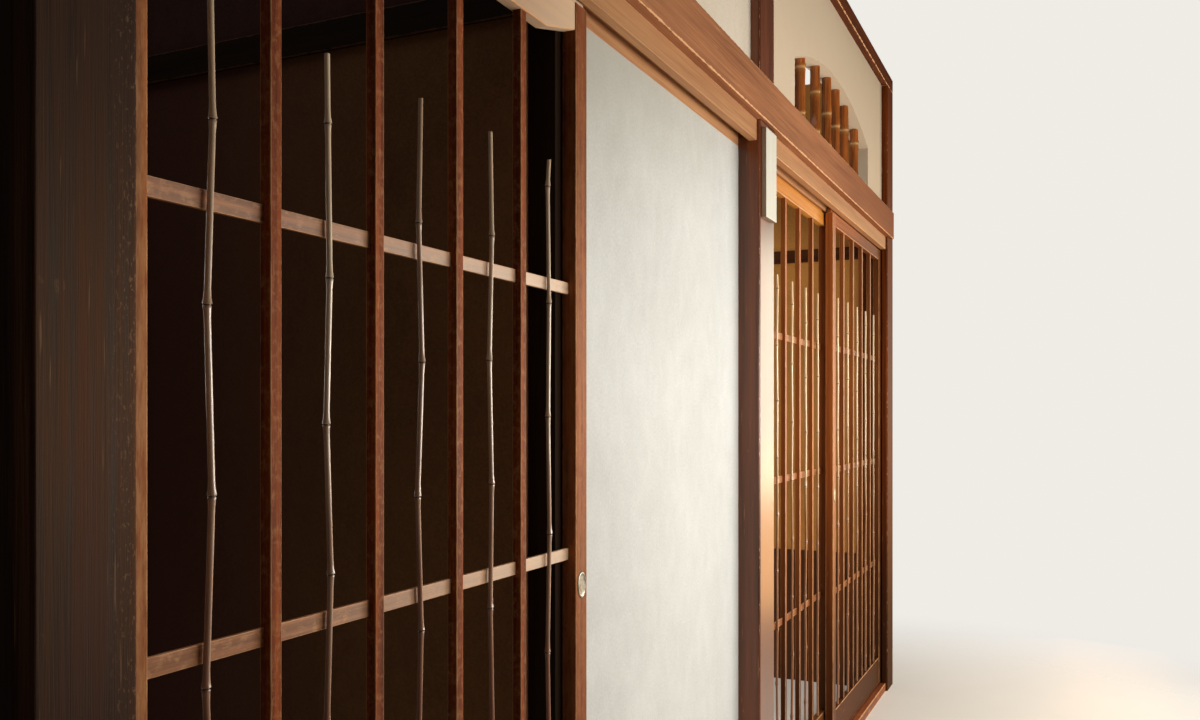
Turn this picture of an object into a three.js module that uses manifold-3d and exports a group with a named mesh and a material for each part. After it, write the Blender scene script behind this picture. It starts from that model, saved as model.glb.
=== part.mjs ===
// The corridor front of two guest rooms in a traditional Japanese inn: a timber frame with
// three sliding lattice doors, plaster panels, a comb-shaped window with bamboo poles, and
// the two partitions that run back into the rooms.
//
// Millimetres, +Z up. X runs along the wall, Y runs from the corridor into the rooms.
// The exported group's origin is at floor level in the middle of the part's length and depth.
import * as THREE from "three";
import { mergeVertices } from "three/addons/utils/BufferGeometryUtils.js";
import Module from "manifold-3d";

const wasm = await Module();
wasm.setup();

// Driving dimensions. While the model is laid out, x starts at the near post's outer side,
// y at the front faces of the posts and z at the floor.
const cutGap = 0.3;
const runningGap = 5;

const nearPostWidth = 105;
const postWidth = 129;
const postDepth = 105;
const postChamfer = 4;
const nearPostChamfer = 11;
const nearBayClear = 1822;
const farBayClear = 1700;
const doorwayClear = 850;
const doorwayPostWidth = 105;
const doorwayPostFront = 55;

const sillTop = 32;
const headBottom = 1790;
const headBackBottom = 1780;
const headTop = 1840;
const trackFront = 8;
const trackBack = 100;
const grooveWidth = 22;
const sillGrooveDepth = 3;
const headGrooveDepth = 15;
const nearGroove = [28, 55];
const nearGrooveDepth = 23;

const nageshiFront = -13;
const nageshiTop = 1948;
const nageshiEndSetback = 54;
const plateBottom = 2455;
const plateTop = 2508;

const lowerPlaster = [55, 95];
const upperPlaster = [24, 81];
const nageshiBack = upperPlaster[0];

const doorThickness = 25;
const doorInset = 7;
const outerDoorFront = 28;
const innerDoorFront = outerDoorFront + doorThickness + runningGap;
const nearDoorWidth = 917;
const sideDoorWidth = 890;
const stileWidth = 40;
const tongueThickness = 12;
const tongueRise = 15;
const railSetback = 2;
const barSetback = 5;
const bottomRailTop = 140;
const haunchRun = 95;
const haunchRise = 26;
const barCount = 4;
const barWidth = 16;
const barDepth = 14.5;
const crossbarHeight = 19;
const crossbarDepth = 5.5;
const tenon = 10;
const caneRadius = 3.9;
const caneSides = 8;
const caneTop = 1515;

const pullHalfHeight = 21.5;
const pullHalfWidth = 14.5;
const pullSides = 16;

const windowStart = 300;
const windowWidth = 1105;
const windowSpring = 2131;
const windowCrown = 2231;
const windowArcSteps = 20;
const windowPoleRadius = 15.5;
const windowPoleSides = 12;
const windowPoleSocket = 20;
const windowPoleOffsets = [175, 367, 530, 661, 806, 984];

const plateWidth = 93;
const plateHeight = 219;
const plateThickness = 13;
const plateHang = 17;
const plateOffset = 10;

const returnThickness = 60;
const returnDepth = 850;
const returnHeader = [1760, 1813];
const returnTrim = 8;
const returnLead = 25;
const boardTop = 550;

// Places worked out from the driving dimensions.
const doorwayPostStart = nearPostWidth + doorwayClear;
const middlePostStart = nearPostWidth + nearBayClear;
const middlePostEnd = middlePostStart + postWidth;
const farPostStart = middlePostEnd + farBayClear;
const totalLength = farPostStart + postWidth;
const returnStart = postDepth;
const returnEnd = returnStart + returnDepth;
const totalBack = returnEnd + postDepth;
const grooveSide = (grooveWidth - doorThickness) / 2;
const outerGroove = [outerDoorFront - grooveSide, outerDoorFront + doorThickness + grooveSide];
const innerGroove = [innerDoorFront - grooveSide, innerDoorFront + doorThickness + grooveSide];

const part = new THREE.Group();
part.position.set(-totalLength / 2, -(nageshiFront + totalBack) / 2, 0);

const finishes = {
  darkWood: { color: 0x3e2a20, roughness: 0.55 },
  warmWood: { color: 0xa56a48, roughness: 0.5 },
  trackWood: { color: 0xb9825a, roughness: 0.55 },
  doorWood: { color: 0x87492c, roughness: 0.45 },
  plaster: { color: 0xd8d3c4, roughness: 0.95 },
  creamPlaster: { color: 0xcdbfa2, roughness: 0.95 },
  roomPlaster: { color: 0x6e5430, roughness: 0.95 },
  cane: { color: 0xb6a184, roughness: 0.4 },
  bamboo: { color: 0x8f6026, roughness: 0.35 },
  metal: { color: 0xa9a48f, roughness: 0.4, metalness: 0.9 },
  board: { color: 0xe9e6da, roughness: 0.7 },
};

function add(name, geometry, finish) {
  const mesh = new THREE.Mesh(geometry, new THREE.MeshStandardMaterial(finishes[finish]));
  mesh.name = name;
  part.add(mesh);
}

// A box between two limits on each axis.
function block([x0, x1], [y0, y1], [z0, z1]) {
  const geometry = new THREE.BoxGeometry(x1 - x0, y1 - y0, z1 - z0);
  return geometry.translate((x0 + x1) / 2, (y0 + y1) / 2, (z0 + z1) / 2);
}

// An upright round rod.
function rod(radius, sides, x, y, [z0, z1]) {
  const geometry = new THREE.CylinderGeometry(radius, radius, z1 - z0, sides);
  return geometry.rotateX(Math.PI / 2).translate(x, y, (z0 + z1) / 2);
}

function outline(points) {
  return new THREE.Shape(points.map(([a, b]) => new THREE.Vector2(a, b)));
}

function drawn(shape, length) {
  return new THREE.ExtrudeGeometry(shape, { depth: length, bevelEnabled: false, steps: 1 });
}

// An outline in the y, z plane drawn out along x.
function drawnAlongX(points, [x0, x1]) {
  const turn = new THREE.Matrix4().makeBasis(
    new THREE.Vector3(0, 1, 0), new THREE.Vector3(0, 0, 1), new THREE.Vector3(1, 0, 0));
  return drawn(outline(points), x1 - x0).applyMatrix4(turn).translate(x0, 0, 0);
}

// An outline in the x, z plane drawn out along y.
function drawnAlongY(shape, [y0, y1]) {
  return drawn(shape, y1 - y0).rotateX(Math.PI / 2).translate(0, y1, 0);
}

// A rectangle with its corners cut off, drawn up along z: a post. The front left corner may
// be cut off further than the others.
function post([x0, x1], [y0, y1], [z0, z1], frontLeft = postChamfer) {
  const c = postChamfer;
  const points = [
    [x0 + frontLeft, y0], [x1 - c, y0], [x1, y0 + c], [x1, y1 - c],
    [x1 - c, y1], [x0 + c, y1], [x0, y1 - c], [x0, y0 + frontLeft],
  ];
  return drawn(outline(points), z1 - z0).translate(0, 0, z0);
}

// Joining and cutting.
function solid(geometry) {
  const bare = geometry.clone();
  bare.deleteAttribute("normal");
  bare.deleteAttribute("uv");
  const merged = mergeVertices(bare, 1e-3);
  return new wasm.Manifold(new wasm.Mesh({
    numProp: 3,
    vertProperties: new Float32Array(merged.attributes.position.array),
    triVerts: new Uint32Array(merged.index.array),
  }));
}

function surface(manifold) {
  const mesh = manifold.getMesh();
  const geometry = new THREE.BufferGeometry();
  geometry.setAttribute("position", new THREE.BufferAttribute(mesh.vertProperties, 3));
  geometry.setIndex(new THREE.BufferAttribute(mesh.triVerts, 1));
  geometry.computeVertexNormals();
  return geometry;
}

function join(pieces) {
  return pieces.map(solid).reduce((whole, piece) => whole.add(piece));
}

function cut(whole, tools) {
  return tools.map(solid).reduce((rest, tool) => rest.subtract(tool), whole);
}

// A post's slot for the edge of a closed door that stands against it.
function doorSlot(sideX, into, doorFront) {
  const reach = doorInset + runningGap;
  const across = into > 0 ? [sideX, sideX + reach] : [sideX - reach, sideX];
  const deep = [doorFront - runningGap, doorFront + doorThickness + runningGap];
  return block(across, deep, [sillTop - sillGrooveDepth, headBottom + headGrooveDepth]);
}

// The frame: posts, sills, head tracks, long tie rails and the wall plate.
function addPosts() {
  const height = [0, plateBottom];
  const depth = [0, postDepth];
  const near = solid(post([0, nearPostWidth], depth, height, nearPostChamfer));
  add("near_post", surface(cut(near, [doorSlot(nearPostWidth, -1, outerDoorFront)])), "darkWood");
  const middle = solid(post([middlePostStart, middlePostEnd], depth, height));
  add("middle_post", surface(cut(middle, [doorSlot(middlePostEnd, -1, innerDoorFront)])), "warmWood");
  const far = solid(post([farPostStart, totalLength], depth, height));
  add("far_post", surface(cut(far, [doorSlot(farPostStart, 1, outerDoorFront)])), "warmWood");
  const behindDoor = [doorwayPostFront, postDepth];
  const doorwayHeight = [sillTop, headBackBottom];
  const doorway = block([doorwayPostStart, doorwayPostStart + doorwayPostWidth], behindDoor, doorwayHeight);
  add("doorway_post", doorway, "darkWood");
}

// A sill or head track: a plank with grooves for the doors, each between two depths. The
// grooves open towards the doors, and side is 1 where they open upwards. The part behind the
// last groove ends at the level back.
function track(span, [plain, grooved, back = grooved], side, grooves, grooveDepth) {
  const floor = grooved - side * grooveDepth;
  const points = [[trackFront, plain], [trackFront, grooved]];
  grooves.forEach(([start, end], index) => {
    const after = index === grooves.length - 1 ? back : grooved;
    points.push([start, grooved], [start, floor], [end, floor], [end, after]);
  });
  points.push([trackBack, back], [trackBack, plain]);
  return drawnAlongX(points, span);
}

function addTracks() {
  const nearSpan = [nearPostWidth, middlePostStart];
  const farSpan = [middlePostEnd, farPostStart];
  const sill = [0, sillTop];
  const head = [headTop, headBottom];
  const nearHead = [headTop, headBottom, headBackBottom];
  add("near_sill", track(nearSpan, sill, 1, [outerGroove], sillGrooveDepth), "doorWood");
  add("far_sill", track(farSpan, sill, 1, [outerGroove, innerGroove], sillGrooveDepth), "doorWood");
  add("near_head_track", track(nearSpan, nearHead, -1, [nearGroove], nearGrooveDepth), "trackWood");
  add("far_head_track", track(farSpan, head, -1, [outerGroove, innerGroove], headGrooveDepth), "trackWood");
}

function addRails() {
  const height = [headTop, nageshiTop];
  const front = solid(block([0, totalLength - nageshiEndSetback], [nageshiFront, nageshiBack], height));
  const notch = [-cutGap, nageshiBack + 1];
  const notches = [
    [-1, nearPostWidth + cutGap],
    [middlePostStart - cutGap, middlePostEnd + cutGap],
    [farPostStart - cutGap, totalLength + 1],
  ].map((span) => block(span, notch, [headTop - 1, nageshiTop + 1]));
  add("front_nageshi", surface(cut(front, notches)), "warmWood");
  const backSpan = [doorwayPostStart - returnLead + returnThickness, farPostStart + returnLead];
  const back = [postDepth, postDepth - nageshiFront];
  add("back_nageshi", block(backSpan, back, height), "warmWood");
  add("wall_plate", block([0, totalLength], [0, postDepth], [plateBottom, plateTop]), "darkWood");
}

// The comb-shaped opening: upright sides under one flat arc.
function archPath(start) {
  const half = windowWidth / 2;
  const rise = windowCrown - windowSpring;
  const radius = (half * half + rise * rise) / (2 * rise);
  const halfAngle = Math.asin(half / radius);
  const points = [[start, nageshiTop], [start, windowSpring]];
  for (let step = 1; step <= windowArcSteps; step += 1) {
    const angle = halfAngle * (2 * step / windowArcSteps - 1);
    points.push([start + half + radius * Math.sin(angle), windowCrown - radius * (1 - Math.cos(angle))]);
  }
  points.push([start + windowWidth, nageshiTop]);
  return new THREE.Path(points.map(([a, b]) => new THREE.Vector2(a, b)));
}

function archHeight(offset) {
  const half = windowWidth / 2;
  const rise = windowCrown - windowSpring;
  const radius = (half * half + rise * rise) / (2 * rise);
  return windowCrown - radius + Math.sqrt(radius * radius - (offset - half) ** 2);
}

function addPlaster() {
  const doorwayPostEnd = doorwayPostStart + doorwayPostWidth;
  add("lower_plaster", block([doorwayPostEnd, middlePostStart], lowerPlaster, [sillTop, headBackBottom]), "plaster");
  const height = [headTop, plateBottom];
  add("near_upper_plaster", block([nearPostWidth, middlePostStart], upperPlaster, height), "creamPlaster");

  const start = middlePostEnd + windowStart;
  const wall = outline([
    [middlePostEnd, headTop], [farPostStart, headTop], [farPostStart, plateBottom], [middlePostEnd, plateBottom]]);
  wall.holes.push(archPath(start));
  const depth = (upperPlaster[0] + upperPlaster[1]) / 2;
  const reach = (offset) => [nageshiTop - windowPoleSocket, archHeight(offset) + windowPoleSocket];
  const sockets = windowPoleOffsets.map((offset) => rod(
    windowPoleRadius + cutGap, windowPoleSides, start + offset, depth,
    [reach(offset)[0] - cutGap, reach(offset)[1] + cutGap]));
  add("far_upper_plaster", surface(cut(solid(drawnAlongY(wall, upperPlaster)), sockets)), "creamPlaster");
  windowPoleOffsets.forEach((offset, index) => {
    const pole = rod(windowPoleRadius, windowPoleSides, start + offset, depth, reach(offset));
    add(`window_pole_${index + 1}`, pole, "bamboo");
  });
}

function addNamePlate() {
  const start = middlePostStart + plateOffset;
  const top = headTop - plateHang;
  const depth = [-plateThickness, 0];
  add("name_plate", block([start, start + plateWidth], depth, [top - plateHeight, top]), "board");
}

// A partition that runs back from the wall to a post of its own. Its left face is at x.
function addReturn(name, x, postX, boarded) {
  const wall = [x, x + returnThickness];
  const proud = [x - returnTrim, x + returnThickness + returnTrim];
  const depth = [returnStart, returnEnd];
  const panelFoot = boarded ? boardTop : 0;
  add(`${name}_panel`, block(wall, depth, [panelFoot, returnHeader[0]]), "roomPlaster");
  add(`${name}_header`, block(proud, depth, returnHeader), "darkWood");
  add(`${name}_upper_wall`, block(wall, depth, [returnHeader[1], plateTop]), "roomPlaster");
  add(`${name}_post`, post([postX, postX + postDepth], [returnEnd, totalBack], [0, plateTop]), "darkWood");
  if (boarded) {
    add(`${name}_boards`, block(proud, depth, [0, boardTop]), "darkWood");
  }
}

// The oval dish that a finger pulls the door by: a rim on the stile and a cup in it.
function pull(x, front, z) {
  const rim = 1.2;
  const cup = 5;
  const wall = 1;
  const profile = [
    [0, cup], [0.8, cup], [0.86, -cutGap], [1, -cutGap], [1, -cutGap - 0.6],
    [0.92, -rim - cutGap], [0.8, -rim - cutGap], [0.72, cup - wall], [0, cup - wall],
  ].map(([r, y]) => new THREE.Vector2(r * pullHalfHeight, y));
  const dish = new THREE.LatheGeometry(profile.reverse(), pullSides);
  dish.scale(pullHalfWidth / pullHalfHeight, 1, 1);
  return dish.translate(x, front, z);
}

function pullPocket(x, front, z) {
  const radius = 0.86 * pullHalfHeight + 1;
  const depth = [-1, 6];
  const pocket = new THREE.CylinderGeometry(radius, radius, depth[1] - depth[0], pullSides);
  pocket.scale(pullHalfWidth / pullHalfHeight, 1, 1);
  return pocket.translate(x, front + (depth[0] + depth[1]) / 2, z);
}

// A top rail. Where it is haunched, its lower edge slopes up at both ends.
function topRail([x0, x1], depth, foot, head, haunched) {
  if (!haunched) {
    return block([x0 - tenon, x1 + tenon], depth, [foot, head]);
  }
  const raised = foot + haunchRise;
  const points = [
    [x0 - tenon, raised], [x0, raised], [x0 + haunchRun, foot], [x1 - haunchRun, foot],
    [x1, raised], [x1 + tenon, raised], [x1 + tenon, head], [x0 - tenon, head],
  ];
  return drawnAlongY(outline(points), depth);
}

// A sliding door: two stiles, a top and a bottom rail with tongues that run in the tracks,
// upright bars, crossbars let into the backs of the bars, and canes in front of the crossbars.
function addDoor(name, { left, front, width, topRailFoot, haunched, crossbars, pullAt, pullHeight }) {
  const right = left + width;
  const shoulder = [sillTop + runningGap, headBottom - runningGap];
  const full = [front, front + doorThickness];
  const rail = [front + railSetback, front + doorThickness - railSetback];
  const inner = [left + stileWidth, right - stileWidth];
  const middle = front + doorThickness / 2;
  const tongue = [middle - tongueThickness / 2, middle + tongueThickness / 2];
  const feet = [sillTop - sillGrooveDepth + cutGap, shoulder[0] + 1];
  const pieces = [
    block([left, left + stileWidth], full, shoulder),
    block([right - stileWidth, right], full, shoulder),
    block([inner[0] - tenon, inner[1] + tenon], rail, [shoulder[0], bottomRailTop]),
    topRail(inner, rail, topRailFoot, shoulder[1], haunched),
    block([left, right], tongue, feet),
    block([left, right], tongue, [shoulder[1] - 1, shoulder[1] + tongueRise]),
  ];
  const bay = (inner[1] - inner[0] - barCount * barWidth) / (barCount + 1);
  const barFront = front + barSetback;
  const barBack = barFront + barDepth;
  for (let bar = 0; bar < barCount; bar += 1) {
    const start = inner[0] + bay + bar * (bay + barWidth);
    const span = [bottomRailTop - tenon, topRailFoot + tenon];
    pieces.push(block([start, start + barWidth], [barFront, barBack], span));
  }
  for (const centre of crossbars) {
    const height = [centre - crossbarHeight / 2, centre + crossbarHeight / 2];
    pieces.push(block([inner[0] - tenon, inner[1] + tenon], [barBack - crossbarDepth, barBack], height));
  }
  let lattice = join(pieces);
  if (pullAt) {
    const x = pullAt === "left" ? left + stileWidth / 2 : right - stileWidth / 2;
    lattice = cut(lattice, [pullPocket(x, front, pullHeight)]);
    add(`${name}_pull`, pull(x, front, pullHeight), "metal");
  }
  add(`${name}_lattice`, surface(lattice), "doorWood");
  const caneY = barBack - crossbarDepth - cutGap - caneRadius;
  for (let cane = 0; cane <= barCount; cane += 1) {
    const x = inner[0] + bay / 2 + cane * (bay + barWidth);
    const height = [bottomRailTop + cutGap, caneTop];
    add(`${name}_cane_${cane + 1}`, rod(caneRadius, caneSides, x, caneY, height), "cane");
  }
}

addPosts();
addTracks();
addRails();
addPlaster();
addNamePlate();
addReturn("near_return", doorwayPostStart - returnLead, doorwayPostStart - returnLead + (returnThickness - postDepth) / 2, false);
addReturn("far_return", farPostStart + returnLead, totalLength - postDepth, true);
addDoor("door_1", {
  left: nearPostWidth - doorInset,
  front: outerDoorFront,
  width: nearDoorWidth,
  topRailFoot: 1714,
  haunched: true,
  crossbars: [1325, 897, 470],
  pullAt: "right",
  pullHeight: 845,
});
addDoor("door_2", {
  left: middlePostEnd - doorInset,
  front: innerDoorFront,
  width: sideDoorWidth,
  topRailFoot: 1745,
  haunched: false,
  crossbars: [1345, 935, 525],
});
addDoor("door_3", {
  left: farPostStart + doorInset - sideDoorWidth,
  front: outerDoorFront,
  width: sideDoorWidth,
  topRailFoot: 1745,
  haunched: false,
  crossbars: [1345, 935, 525],
  pullAt: "left",
  pullHeight: 855,
});

export default part;
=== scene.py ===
import math
import random

import bmesh
import bpy
from bpy.props import FloatProperty, FloatVectorProperty, IntProperty, PointerProperty
from mathutils import Matrix, Vector


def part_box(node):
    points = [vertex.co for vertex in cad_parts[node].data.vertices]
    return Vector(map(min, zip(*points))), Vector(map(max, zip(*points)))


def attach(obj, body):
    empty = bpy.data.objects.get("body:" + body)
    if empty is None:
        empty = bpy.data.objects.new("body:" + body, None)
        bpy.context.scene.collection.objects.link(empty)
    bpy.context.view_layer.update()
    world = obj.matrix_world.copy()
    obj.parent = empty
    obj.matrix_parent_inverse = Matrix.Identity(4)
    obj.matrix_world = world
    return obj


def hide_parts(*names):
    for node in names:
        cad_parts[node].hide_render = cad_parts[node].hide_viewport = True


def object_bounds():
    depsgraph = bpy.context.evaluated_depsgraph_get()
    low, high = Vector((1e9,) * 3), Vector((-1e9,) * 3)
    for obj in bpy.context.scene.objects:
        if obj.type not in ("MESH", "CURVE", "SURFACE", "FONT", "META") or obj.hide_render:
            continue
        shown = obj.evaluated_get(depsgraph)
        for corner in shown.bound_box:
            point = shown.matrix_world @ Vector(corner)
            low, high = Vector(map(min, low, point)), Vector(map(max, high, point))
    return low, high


bl_info = {
    "name": "Inn Room Front",
    "version": (1, 0, 0),
    "blender": (4, 5, 0),
    "location": "3D View > Sidebar > Inn Room",
    "description": "Timber, plaster, lattice doors and bamboo of a Japanese inn's room front",
    "category": "Add Mesh",
}

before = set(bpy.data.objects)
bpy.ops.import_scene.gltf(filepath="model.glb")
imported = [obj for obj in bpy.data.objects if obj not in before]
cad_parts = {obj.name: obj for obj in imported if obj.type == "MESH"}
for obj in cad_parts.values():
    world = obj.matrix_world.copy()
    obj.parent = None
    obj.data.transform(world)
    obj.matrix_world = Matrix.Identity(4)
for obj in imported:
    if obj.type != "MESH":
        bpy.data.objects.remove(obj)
cad_box = [list(corner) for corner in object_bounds()]

NEAR_DOOR = {"rail_foot": 1.714, "haunched": True, "crossbars": (1.325, 0.897, 0.470)}
SIDE_DOOR = {"rail_foot": 1.745, "haunched": False, "crossbars": (1.345, 0.935, 0.525)}
DOORS = {"door_1": NEAR_DOOR, "door_2": SIDE_DOOR, "door_3": SIDE_DOOR}
BARS_PER_DOOR = 4
CANES_PER_DOOR = 5
WINDOW_POLES = 6
# Each cane of the near door: height of one joint, distance between joints, how brown it is.
NEAR_CANES = (
    (1.045, 0.180, 0.3), (0.947, 0.164, 0.05), (1.020, 0.167, 0.5), (1.025, 0.172, 0.3),
    (0.937, 0.181, 0.3))
# The far doors' canes: lowest place of that joint, how far above it may lie, distances between joints.
FAR_START, FAR_SPREAD, FAR_GAPS = 0.9, 0.17, (0.155, 0.185)
# Around a stem's joint: place along the stem in radii, share of the swelling, darkness.
JOINT_PROFILE = (
    (-3.4, 0.0, 0.0), (-1.1, 0.3, 0.0), (-0.34, 0.62, 0.25), (-0.1, 0.2, 1.0), (0.12, 0.35, 1.0),
    (0.34, 1.0, 0.15), (0.8, 0.75, 0.0), (2.0, 0.3, 0.0), (4.2, 0.0, 0.0))
# Half a pull's section: distance from its middle as a share of its half height, and depth.
PULL_PROFILE = (
    (0.0, 0.0011), (0.4, 0.00105), (0.7, 0.00085), (0.8, 0.0006), (0.84, 0.0001), (0.88, -0.0001),
    (0.95, 0.0002), (0.99, 0.0007), (1.0, 0.0012), (0.985, 0.0014), (0.86, 0.0015), (0.83, 0.0062),
    (0.0, 0.0064))
PULL_STEPS = 40
LAP = 0.001  # how far touching pieces of one mesh overlap
NAGESHI_PROUD = 0.013  # how far the long rail stands in front of the posts
# The camera: distance from the near end, from the posts' faces and from the floor, turn, shift.
CAMERA_BACK, CAMERA_OUT, CAMERA_HEIGHT = 0.5055, 0.7059, 1.1228
CAMERA_TURN, CAMERA_SHIFT = -64.966, 0.0449


def srgb(code):
    """A linear colour from the six hexadecimal digits of a screen colour."""
    parts = [int(code[i:i + 2], 16) / 255 for i in (0, 2, 4)]
    return tuple(c / 12.92 if c <= 0.04045 else ((c + 0.055) / 1.055) ** 2.4 for c in parts)


def number(name, description, default, **kind):
    """A property from 0 up."""
    return FloatProperty(name=name, description=description, default=default, min=0, **kind)


def length(name, description, default):
    """A size property in metres."""
    return number(name, description, default, precision=4, unit="LENGTH", subtype="DISTANCE")


def colour(name, description, code):
    """A colour property whose default is a screen colour."""
    return FloatVectorProperty(
        name=name, description=description, default=srgb(code), min=0, max=1, size=3, subtype="COLOR")


def share(name, description, default):
    """A property from 0 to 1."""
    return number(name, description, default, max=1, subtype="FACTOR")


def power(name, lamp, default):
    """A light's power in watts."""
    return number(name, f"Power of the {lamp}", default, unit="POWER")


# ---- properties


class TimberProperties(bpy.types.PropertyGroup):
    """Sizes and colours of the posts, rails and tracks."""

    post_round: length("Post arris", "Rounding of the posts' arrises", 0.0015)
    rail_round: length("Rail arris", "Rounding of the long rails' arrises", 0.003)
    # Height of a painted pool of light on the dark timber; away from it the wood darkens as painted shade
    # and wears less.
    hand: length("Lit band height", "Height at which the dark timber is handled most", 1.12)
    # Painted warm light: the long rails redden over this length towards their far end.
    warm_light_run: length("Rail fade", "Length over which a long rail reddens towards its far end", 1.6)
    track_round: length("Track arris", "Rounding of the sills and head tracks", 0.0015)
    dark: colour("Dark wood", "Late wood of the old dark posts", "22110a")
    dark_light: colour("Dark wood, light", "Early wood of the old dark posts", "58351f")
    dark_worn: colour("Dark wood, worn", "Bare wood where the dark posts are rubbed", "a67c58")
    flush: colour("Dark wood, red", "Redder zones of the old dark posts", "502a20")
    room: colour("Room wood", "Late wood of the partitions' timber", "120b07")
    room_light: colour("Room wood, light", "Early wood of the partitions' timber", "2c1a10")
    brown: colour("Far room wood", "Late wood of the far partition's timber", "2e160a")
    brown_light: colour("Far room wood, light", "Early wood of the far partition's timber", "5e3319")
    warm: colour("Warm wood", "Late wood of the oiled rails", "6e3f24")
    warm_light: colour("Warm wood, light", "Early wood of the oiled rails", "aa7049")
    warm_worn: colour("Warm wood, worn", "Rubbed arrises of the oiled wood", "d6a071")
    post: colour("Post wood", "Late wood of the oiled posts", "3a1504")
    post_light: colour("Post wood, light", "Early wood of the oiled posts", "74340c")
    sheen: share("Middle post gloss", "Gloss of the polished middle post", 1.0)
    track: colour("Track wood", "Late wood of the head tracks", "8c5a38")
    track_light: colour("Track wood, light", "Early wood of the head tracks", "bd8c5e")


class DoorProperties(bpy.types.PropertyGroup):
    """Sizes and colours of the sliding lattice doors."""

    stile_width: length("Stile width", "Width of a door's upright edge piece", 0.040)
    rail_setback: length("Rail setback", "How far the rails lie behind the stiles' faces", 0.002)
    bottom_rail_top: length("Bottom rail top", "Height of the bottom rail's upper edge", 0.140)
    shoulder_foot: length("Door foot", "Height of the door's lower edge", 0.037)
    shoulder_head: length("Door head", "Height of the door's upper edge", 1.785)
    tongue: length("Tongue", "Thickness of the tongues that run in the tracks", 0.012)
    haunch_run: length("Haunch run", "Length of the sloped ends of a haunched rail", 0.095)
    haunch_rise: length("Haunch rise", "Rise of the sloped ends of a haunched rail", 0.026)
    bar_width: length("Bar width", "Width of an upright bar", 0.016)
    bar_depth: length("Bar depth", "Depth of an upright bar", 0.0145)
    bar_setback: length("Bar setback", "How far the bars lie behind the stiles' faces", 0.005)
    crossbar_height: length("Crossbar height", "Height of a crossbar", 0.019)
    crossbar_depth: length("Crossbar depth", "Depth of a crossbar", 0.0055)
    tenon: length("Tenon", "How far a member runs into the next one", 0.010)
    arris: length("Arris", "Rounding of the members' arrises", 0.0012)
    wood: colour("Door wood", "Late wood of the near door", "4c1a08")
    wood_light: colour("Door wood, light", "Early wood of the near door", "a04c20")
    wood_worn: colour("Door wood, worn", "Rubbed arrises and spots", "cc925e")
    far_wood: colour("Far door wood", "Late wood of the two far doors", "6a2c0c")
    far_light: colour("Far door wood, light", "Early wood of the two far doors", "b5642a")
    # Painted shade: the far doors darken to this colour near the floor and towards the far end.
    foot: colour("Low wood", "Darker wood of the far doors near the floor", "280d05")
    # Partly the middle door's rail wood, partly a painted warm glow: these two colours are a brighter
    # orange than the other doors' wood.
    rail_glow: colour("Amber wood", "Late wood of the middle door's rails", "a86022")
    rail_glow_light: colour("Amber wood, light", "Early wood of the middle door's rails", "d28c38")
    # The right stile takes 0.4 of this share, partly wear and partly a painted sheen.
    rubbed: share("Rubbed stile", "Wear on the near door's left stile", 0.62)
    crossbar: colour("Crossbar wood", "Late wood of the crossbars", "64320f")
    crossbar_light: colour("Crossbar wood, light", "Early wood of the crossbars", "a8683a")
    # Painted sheen: the colour the near door's rails and crossbars lighten to towards their right end.
    crossbar_painted_tone: colour("Crossbar wood, faded", "Right end of the near door's level pieces", "e6caa8")


class CaneProperties(bpy.types.PropertyGroup):
    """Sizes and colours of the canes in the doors."""

    sway: length("Sway", "How far a cane bends to the side at its joints", 0.0046)
    sides: IntProperty(name="Sides", description="Sides of a cane's section", default=14, min=6, max=32)
    swell: share("Swelling", "How much a joint stands out", 0.46)
    taper: share("Taper", "How much thinner a cane is at its top", 0.16)
    slimness: share("Slimness", "Thickness between joints, against the CAD rod's", 0.94)
    skin: colour("Cane skin", "Weathered skin of the canes", "f6dab4")
    skin_low: colour("Cane skin, low", "Browner skin near the floor", "84462a")
    far_low: colour("Far cane skin, low", "Browner skin of the far doors' canes near the floor", "864618")
    far_skin: colour("Far cane skin", "Yellower skin of the far doors' canes", "ffd49a")
    joint: colour("Cane joint", "Dark ring at a joint", "3c2c20")


class BambooProperties(bpy.types.PropertyGroup):
    """Sizes and colours of the window's bamboo poles."""

    sides: IntProperty(name="Sides", description="Sides of a pole's section", default=28, min=8, max=64)
    swell: share("Swelling", "How much a joint stands out", 0.13)
    slimness: share("Slimness", "Thickness between joints, against the CAD pole's", 0.98)
    skin: colour("Bamboo skin", "Light streaks of the smoked bamboo", "c86e26")
    skin_dark: colour("Bamboo skin, dark", "Dark streaks of the smoked bamboo", "3e1a07")
    joint: colour("Bamboo joint", "Ring at a joint", "d0a062")


class PlasterProperties(bpy.types.PropertyGroup):
    """Colours and texture of the plaster."""

    grey: colour("Grey plaster", "Lime plaster of the lower panel", "d1d1cb")
    grey_dark: colour("Grey plaster, dark", "Mottles in the lower panel", "b9b8b1")
    pale: colour("Pale plaster", "Clay plaster over the near bay", "d8d0c2")
    cream: colour("Cream plaster", "Clay plaster over the far bay", "cbb69a")
    cream_dark: colour("Cream plaster, dark", "Mottles over the long rail", "c6b195")
    room: colour("Room plaster", "Clay plaster of the near partition", "8a5c2c")
    room_dark: colour("Room plaster, dark", "Mottles of the near partition", "664020")
    # Painted shade: the near room's plaster darkens to this towards the back, and its upper wall is made
    # of it.
    room_back_shade: colour("Room plaster, back", "Redder plaster further back in the near room", "4a1c11")
    room_far: colour("Far room plaster", "Clay plaster of the far partition", "d4903f")
    room_far_dark: colour("Far room plaster, dark", "Mottles of the far partition", "aa7434")
    grain: length("Grain", "Height of the plaster's sand grain", 0.0006)


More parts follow.
